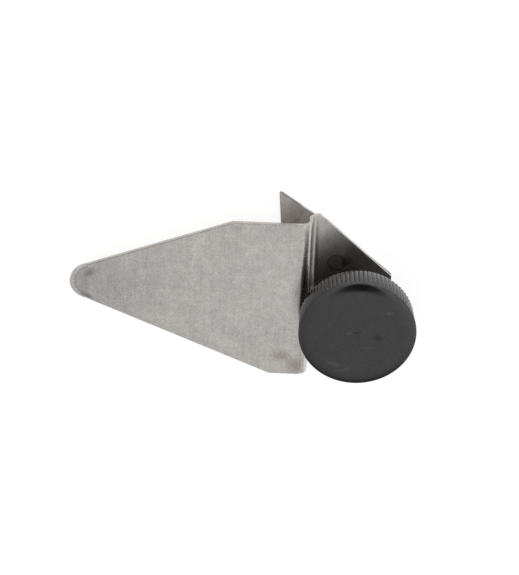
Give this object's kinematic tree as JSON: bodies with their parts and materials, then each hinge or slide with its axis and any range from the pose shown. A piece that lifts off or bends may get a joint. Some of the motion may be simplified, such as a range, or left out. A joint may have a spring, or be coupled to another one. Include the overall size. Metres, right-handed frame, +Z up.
{
  "type": "finger plate clamp",
  "caption": "Stepped, tapering sheet-steel finger plate on a flat base plate, clamped by a round ribbed plastic knob on a threaded stud.",
  "frame": {"origin": "where the stud's axis meets the underside of the base plate", "axes": "+Z up along the stud towards the knob, -X along the finger towards its tip, Y along the bends"},
  "size_m": [0.1186, 0.0667, 0.0232],
  "materials": {
    "finger_steel": "satin, unpainted, mottled rolled steel with heat tint at the spot welds",
    "base_steel": "satin, unpainted, darker rolled steel",
    "plated_steel": "bright zinc plate",
    "insert_brass": "turned",
    "knob_plastic": "satin black moulded plastic with fine straight ribs"
  },
  "bodies": {
    "frame": {"base_plate": "base_steel", "finger_plate": "finger_steel", "clamp_stud": "plated_steel", "stop_nut": "plated_steel"},
    "washer": {"clamp_washer": "plated_steel"},
    "knob": {"knob_insert": "insert_brass", "knob_body": "knob_plastic", "knob_cap": "knob_plastic"}
  },
  "joints": [
    {"name": "clamp_slide", "type": "slide", "parent": "frame", "child": "washer", "axis": [0, 0, 1], "range_m": [-0.0025, 0]},
    {"name": "knob_turn", "type": "hinge", "parent": "washer", "child": "knob", "pos_m": [0, 0, 0.015], "axis": [0, 0, 1], "range_deg": [-900, 0]}
  ],
  "couplings": [
    {"joint": "clamp_slide", "follows": "knob_turn", "m_per_rad": 0.00015915}
  ]
}
